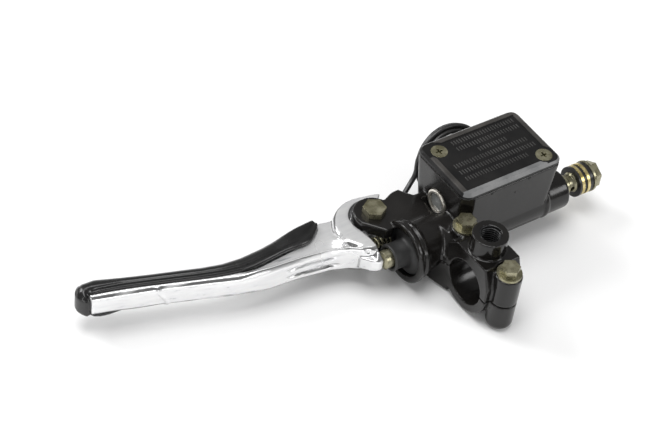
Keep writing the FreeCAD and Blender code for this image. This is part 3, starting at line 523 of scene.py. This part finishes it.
# ---------------------------------------------------------------- camera
def add_camera(azimuth, elevation, roll, position, lens):
    """A camera at this place, turned by angles in degrees, with a focal length in millimetres."""
    azimuth, elevation, roll = (math.radians(angle) for angle in (azimuth, elevation, roll))
    flat = math.cos(elevation)
    back = Vector((math.sin(azimuth) * flat, -math.cos(azimuth) * flat, math.sin(elevation)))
    level = Vector((0.0, 0.0, 1.0)).cross(back).normalized()
    upward = back.cross(level)
    right = level * math.cos(roll) + upward * math.sin(roll)
    top = upward * math.cos(roll) - level * math.sin(roll)
    data = bpy.data.cameras.new("camera")
    data.lens = lens
    data.sensor_width = 36.0
    data.clip_start = 0.05
    data.clip_end = 20.0
    camera = add_object("camera", data)
    turned = Matrix((right, top, back)).transposed().to_4x4()
    camera.matrix_world = Matrix.Translation(position) @ turned
    bpy.context.scene.camera = camera


add_camera(azimuth=-39.86, elevation=44.92, roll=8.65, position=(-0.4554, -0.4377, 0.6446), lens=107.8)

# ---------------------------------------------------------------- lever and its soft cover
# outlines seen from above, and the hook's outer radius at angles round the pivot; millimetres, degrees
REAR = [(-163.5, 63.8), (-151.0, 60.3), (-134.0, 55.4), (-117.0, 49.6), (-101.0, 44.0), (-86.0, 41.4),
        (-70.6, 40.2), (-56.0, 38.0), (-48.0, 35.3), (-43.0, 32.0)]
FRONT = [(-163.0, 75.0), (-157.0, 74.6), (-146.0, 70.4), (-134.0, 66.2), (-121.0, 62.0), (-112.0, 59.0),
         (-103.0, 56.7), (-94.0, 55.9), (-83.0, 56.5), (-71.0, 58.1), (-60.0, 59.2), (-53.5, 59.6)]
COVER_EDGE = [(-163.5, 66.6), (-148.0, 62.8), (-133.0, 58.0), (-117.0, 52.6), (-105.0, 49.0), (-97.0, 47.5),
              (-88.6, 47.5), (-77.0, 48.5), (-66.0, 49.8), (-58.0, 51.9), (-53.0, 55.3)]
COVER_TIP = [(-163.5, 66.6), (-163.6, 65.2), (-164.6, 64.2), (-167.0, 66.4), (-168.0, 70.0), (-166.4, 73.6)]
HOOK_OUTER = [(44.0, 16.4), (100.0, 16.4), (133.0, 17.5), (161.0, 19.0), (175.0, 20.2), (190.0, 20.6)]

# where the lever's section changes, as (start, end) along x, out from the pivot or in from the edge
RIBBED_X = (-102.0, -88.0)
WEB_STEP = (2.2, 3.6)
HUB_EDGE = (9.3, 10.2)
FINGER_X = (-48.5, -45.0)
GROOVE_START_X = (-80.0, -73.0)
RIB_HEIGHT, RIB_IN, RIB_WIDTH = 0.9, 1.7, 0.8
BOSS_WIDTH = 4.2
HOOK_INNER, HOOK_WALL = 10.4, 2.3
FINGER_SLOPE = 0.62
TIP_THINNING = 0.13
GROOVE_DEPTH, GROOVE_Z = 1.9, 3.4
NICK_DEPTH, NICK_X = 0.55, -133.0
SPRING_ROOM, SPRING_ROOM_X, SPRING_ROOM_Y, SPRING_ROOM_HALF = 1.2, -30.5, 41.3, 4.5
COVER_LIP = 2.3


def points_of(mesh):
    """The mesh's vertices as rows of x, y, z in millimetres."""
    flat = np.empty(len(mesh.vertices) * 3)
    mesh.vertices.foreach_get("co", flat)
    return flat.reshape(-1, 3) * MM_PER_METRE


def set_points(mesh, co):
    mesh.vertices.foreach_set("co", (co / MM_PER_METRE).ravel())
    mesh.update()


def rise(value, start, end):
    """0 before start, 1 after end, smooth between."""
    share = np.clip((value - start) / (end - start), 0.0, 1.0)
    return share * share * (3.0 - 2.0 * share)


def quarter_round(distance, reach, least):
    """Height factor of a rounded edge: least at the edge, 1 from reach inwards."""
    share = np.clip(distance / reach, 0.0, 1.0)
    return least + (1.0 - least) * np.sqrt(1.0 - (1.0 - share) ** 2)


def bell(value, centre, width):
    """1 at the centre, falling smoothly to nothing a few widths away."""
    return np.exp(-((value - centre) / width) ** 2)


def distance_to_line(x, y, line):
    """Distance from each point to a bent line of (x, y) corners."""
    nearest = np.full(x.shape, 1e9)
    for (ax, ay), (bx, by) in zip(line, line[1:]):
        dx, dy = bx - ax, by - ay
        share = np.clip(((x - ax) * dx + (y - ay) * dy) / (dx * dx + dy * dy), 0.0, 1.0)
        nearest = np.minimum(nearest, np.hypot(x - ax - share * dx, y - ay - share * dy))
    return nearest


def blade_height(x, y, behind):
    """Half height of the blade: rounded rear edge, sunk web with a rib, and a boss by the hook."""
    ribbed = rise(x, *RIBBED_X)
    web = BLADE_HALF - (BLADE_HALF - WEB_HALF) * ribbed * rise(behind, *WEB_STEP)
    height = web * quarter_round(behind, 3.6 - 1.6 * ribbed, 0.5 + 0.22 * ribbed)
    height = height + RIB_HEIGHT * ribbed * bell(behind, RIB_IN, RIB_WIDTH)
    boss = bell(np.hypot(x - BOSS_X, y - BOSS_Y), 0.0, BOSS_WIDTH)
    return height + (BOSS_HALF - height) * boss


def hook_height(x, y, radius, height):
    """Half height with the round wall of the hook added to the blade's."""
    angle = np.degrees(np.arctan2(y - PIVOT_Y, x - PIVOT_X)) % 360.0
    outer = np.interp(angle, *zip(*HOOK_OUTER))
    wall = np.clip((radius - outer + HOOK_WALL) / 2.5, 0.0, 1.0)
    hook = height + (LEVER_HALF - height) * np.sqrt(1.0 - wall ** 2)
    hook = hook * quarter_round(radius - HOOK_INNER, 1.8, 0.72)
    near_hook = rise(outer - radius, -0.9, -0.2)
    return height + (hook - height) * near_hook


def finger_limit(x, y):
    """Largest half height of the finger that meets the piston, which thins towards its end."""
    on_finger = rise(x, *FINGER_X) * rise(-y, -39.0, -36.0)
    taper = FINGER_HALF + FINGER_SLOPE * (y - FINGER_END_Y)
    return np.maximum(taper + NO_LIMIT * (1.0 - on_finger), FINGER_HALF)


def blade_form(co):
    """Lever section: blade, hook and finger, a groove and a nick behind, and room for the spring."""
    x, y, z = co[:, 0].copy(), co[:, 1].copy(), co[:, 2].copy()
    behind = y - np.interp(x, *zip(*REAR))
    radius = np.hypot(x - PIVOT_X, y - PIVOT_Y)
    height = hook_height(x, y, radius, blade_height(x, y, behind))
    off_hub = rise(radius, *HUB_EDGE)
    shaped_part = off_hub * rise(-x, 37.0, 40.0) + off_hub * rise(y, 50.0, 53.0)
    factor = 1.0 + (height / LEVER_HALF - 1.0) * np.clip(shaped_part, 0.0, 1.0)
    up = np.minimum(np.abs(z) * factor, finger_limit(x, y))
    tip = rise(-x, 142.0, 156.0) * rise(-behind, -7.0, -4.5)
    up = np.where(z < 0, up * (1.0 - TIP_THINNING * tip), up)
    groove = GROOVE_DEPTH * bell(np.abs(z), GROOVE_Z, 0.9) * rise(x, *GROOVE_START_X) * rise(-x, 50.0, 58.0)
    y = y + groove * rise(-behind, -1.6, -0.8)
    y = y - NICK_DEPTH * bell(x + 0.3 * z, NICK_X, 0.9) * rise(-behind, -2.6, -1.2)
    from_corner = np.hypot(x - SPRING_ROOM_X, y - SPRING_ROOM_Y)
    y = y + SPRING_ROOM * bell(from_corner, 0.0, 3.0) * (np.abs(z) < SPRING_ROOM_HALF)
    return np.column_stack((x, y, np.sign(z) * up))


def cover_form(co):
    """Cover section: domed, two grooves by the metal, a round tip, a lip below and a wide near end."""
    x, y, z = co[:, 0].copy(), co[:, 1].copy(), co[:, 2].copy()
    edge = y - np.interp(x, *zip(*COVER_EDGE))
    rim = distance_to_line(x, y, COVER_TIP + FRONT)
    ball = rise(-x, 157.0, 162.0)
    near_end = rise(x, -78.0, -62.0)
    height = COVER_HALF * quarter_round(rim, 5.4 - 2.6 * near_end, 0.5 - 0.04 * ball + 0.34 * near_end)
    grooves = 0.7 * bell(edge, 0.0, 0.5) + 0.95 * bell(edge, 2.6, 0.8)
    height = height - rise(x, -163.0, -160.0) * grooves
    up = np.abs(z) * height / COVER_HALF
    lip = (z < -5.3) * rise(-edge, -1.6, -0.4) * rise(-x, 143.0, 158.0) * rise(x, -164.4, -163.0)
    y = y - COVER_LIP * lip - 1.9 * bell(x, -62.5, 7.0) * rise(-edge, -3.5, -0.3)
    return np.column_stack((x, y, np.sign(z) * up))


def shaped(node, name, finish, slot, form):
    """The node's solid, given its cast section and soft edges."""
    piece = soften(copy_of(node, name), LEVER_VOXEL, CAST_ROUNDS)
    set_points(piece.data, form(points_of(piece.data)))
    soften(piece, LEVER_VOXEL, CAST_ROUNDS + 2)
    paint(piece.data, finish)
    place(piece, "lever", slot, node)


shaped("brake_lever", "lever_casting", polished, "polished_lever", blade_form)
shaped("lever_cover", "lever_soft_cover", cover_skin, "soft_cover", cover_form)

# small plain raised pads beside the hook, as foundries leave
PADS = [((-47.6, 45.0, PAD_LEVEL), (3.0, 1.6, 1.6)), ((-47.4, 42.6, PAD_LEVEL), (1.9, 1.4, 1.6)),
        ((-48.6, 40.2, PAD_LEVEL), (2.2, 1.5, 1.6))]
pads = small_blocks("lever_cast_pads", PADS, polished, round_by=0.3, segments=3, turn=PAD_TURN)
place(pads, "lever", "polished_lever")


# ---------------------------------------------------------------- plain relief on the lid, painted shade of pits in the wall
def tick_rows():
    """Rows of equal upright ticks, which spell nothing."""
    rows = [(51.8, 16.0, 50.5), (47.6, 16.0, 50.5), (43.2, 25.0, 40.0), (38.8, 8.0, 49.0), (34.4, 8.0, 50.0),
            (30.0, 8.0, 43.0)]
    blocks = []
    for y, start, stop in rows:
        count = int((stop - start) / TICK_GAP)
        for step in range(count + 1):
            blocks.append(((start + TICK_GAP * step, y, 30.4), (0.62, 2.5, 0.34)))
    return blocks


place(small_blocks("lid_plain_relief", tick_rows(), relief, round_by=0.12), "body", "lid")

# small near-black patches on the front wall that paint the shade inside casting pits
PITS = [((15.7, 19.78, 26.5), (1.3, 0.2, 0.8)), ((29.9, 19.68, 21.0), (0.6, 0.2, 1.1)),
        ((37.2, 19.78, 26.4), (1.5, 0.2, 0.9))]
place(small_blocks("wall_pit_shade", PITS, painted_pit_shade, round_by=0.09), "body", "casting")

# ---------------------------------------------------------------- castings with soft edges
for node, name in (("master_cylinder_body", "cylinder_casting"), ("clamp_cap", "clamp_cap_casting")):
    piece = soften(copy_of(node, name), CAST_VOXEL, CAST_ROUNDS)
    paint(piece.data, casting)
    place(piece, "body", "casting", node)

# ---------------------------------------------------------------- soft and sprung pieces, each with its own mesh
# (x, radius) in millimetres: rolled rim, tube with a soft shoulder, and a flange with a raised lip
BOOT = [(-31.7, 5.1), (-31.8, 5.6), (-31.8, 6.1), (-31.5, 6.45), (-31.0, 6.5), (-30.6, 6.35), (-27.0, 6.3),
        (-24.2, 6.35), (-23.2, 6.6), (-22.6, 7.2), (-22.3, 8.2), (-22.15, 9.6), (-22.3, 10.4), (-22.4, 10.9),
        (-22.2, 11.35), (-21.7, 11.5), (-20.4, 11.5), (-20.4, 5.1)]


def shortening(node, name, finish, slot):
    """A spring's mesh, copied, painted and fixed to the body as a mesh of its own."""
    piece = copy_of(node, name)
    paint(piece.data, finish)
    place(piece, "body", slot, node)
    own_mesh(piece)


boot_mesh = lathe("dust_boot_skin", BOOT, centre_y=CYLINDER_Y, centre_z=0.0, segments=72)
boot = add_mesh("dust_boot_skin", boot_mesh, rubber)
place(boot, "body", "rubber", "dust_boot")
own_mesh(boot)
shortening("lever_return_spring", "lever_spring", olive, "steel")
shortening("piston_return_spring", "piston_spring", steel, "steel")

# ---------------------------------------------------------------- screw thread of the mirror hole
MIRROR_THREAD_TOP = 0.0262
mirror_mesh = inner_thread("mirror_thread_ridge", radius=5.0, depth=0.62, pitch=1.25, turns=8.6)
mirror_mesh.transform(Matrix.Translation((0.0, 0.0, MIRROR_THREAD_TOP)))
place(add_mesh("mirror_thread_ridge", mirror_mesh, thread_metal), "body", "casting")


# ---------------------------------------------------------------- floor and light
def add_floor():
    """A wide pale sheet just below the part."""
    z = cad_low.z - FLOOR_GAP
    signs = [(-1.0, -1.0), (1.0, -1.0), (1.0, 1.0), (-1.0, 1.0)]
    corners = [(a * FLOOR_REACH, b * FLOOR_REACH, z) for a, b in signs]
    floor_mesh = bpy.data.meshes.new("floor")
    floor_mesh.from_pydata(corners, [], [(0, 1, 2, 3)])
    floor_finish = Material("pale_floor")
    floor_cloud = floor_finish.noise(3.0, 2.0)
    floor_finish.colour(floor_finish.ramp(floor_cloud, [(0.3, 0.86), (0.7, 0.9)]))
    floor_finish.set(Roughness=0.9)
    add_mesh("floor", floor_mesh, floor_finish)


def add_world(strength):
    """Even white light from all round."""
    world = bpy.data.worlds.new("studio")
    world.use_nodes = True
    background = world.node_tree.nodes["Background"]
    background.inputs[0].default_value = (1.0, 1.0, 1.0, 1.0)
    background.inputs[1].default_value = strength
    bpy.context.scene.world = world


def area_light(name, position, size, power, tall=None):
    """A rectangle of light aimed at the part; size and tall in metres, power in watts."""
    data = bpy.data.lights.new(name, "AREA")
    data.shape = "RECTANGLE"
    data.size = size
    data.size_y = tall or size
    data.energy = power
    lamp = add_object(name, data)
    lamp.location = position
    aim = Vector((-0.02, 0.03, 0.0)) - Vector(position)
    lamp.rotation_euler = aim.to_track_quat("-Z", "Y").to_euler()


add_floor()
add_world(0.3)
bpy.context.scene.view_settings.view_transform = "Standard"
area_light("key", (-1.0, 2.0, 1.7), size=1.0, power=34.0)
area_light("top", (-0.3, 0.3, 2.6), size=1.7, power=46.0)
area_light("front_strip", (-0.4, -2.0, 0.6), size=1.4, power=8.0, tall=0.35)
area_light("left_strip", (-2.2, -0.3, 0.8), size=0.3, power=8.0, tall=1.4)
area_light("right_fill", (1.3, -1.7, 1.3), size=0.9, power=14.0)
